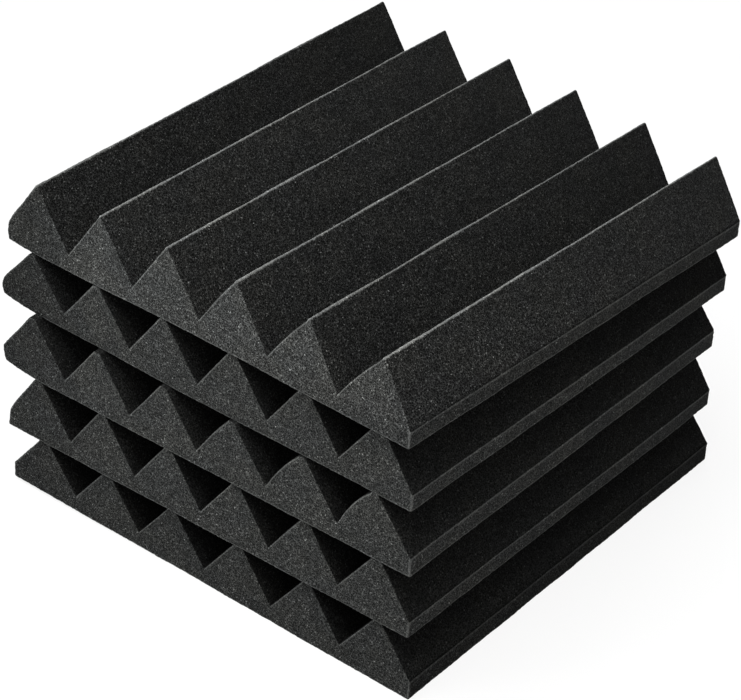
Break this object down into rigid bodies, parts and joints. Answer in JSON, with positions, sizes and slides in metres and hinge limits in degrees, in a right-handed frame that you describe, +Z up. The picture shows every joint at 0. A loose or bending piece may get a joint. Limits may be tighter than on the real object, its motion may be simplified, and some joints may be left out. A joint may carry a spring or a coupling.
{
  "type": "stack of acoustic foam panels",
  "caption": "Loose stack of square charcoal wedge-cut acoustic foam tiles, ridges up, each lying on the crests of the tile below and lifting off.",
  "frame": {"origin": "the middle of the flat underside of the lowest tile, on the surface that the stack lies on", "axes": "+Z is up through the stack, X runs across the ridges and Y along them, so the zigzag cut ends face -Y and +Y"},
  "size_m": [0.3155, 0.3152, 0.2162],
  "materials": {
    "charcoal_foam": "matte open-cell polyurethane foam, charcoal, cut faces with fine pores and tiny glints"
  },
  "bodies": {
    "panel_1": {"panel_1": "charcoal_foam"},
    "panel_2": {"panel_2": "charcoal_foam"},
    "panel_3": {"panel_3": "charcoal_foam"},
    "panel_4": {"panel_4": "charcoal_foam"},
    "panel_5": {"panel_5": "charcoal_foam"}
  },
  "joints": [
    {"name": "panel_2_lift", "type": "slide", "parent": "panel_1", "child": "panel_2", "axis": [0, 0, 1], "range_m": [0, 0.06]},
    {"name": "panel_3_lift", "type": "slide", "parent": "panel_2", "child": "panel_3", "axis": [0, 0, 1], "range_m": [0, 0.06]},
    {"name": "panel_4_lift", "type": "slide", "parent": "panel_3", "child": "panel_4", "axis": [0, 0, 1], "range_m": [0, 0.06]},
    {"name": "panel_5_lift", "type": "slide", "parent": "panel_4", "child": "panel_5", "axis": [0, 0, 1], "range_m": [0, 0.06]}
  ]
}
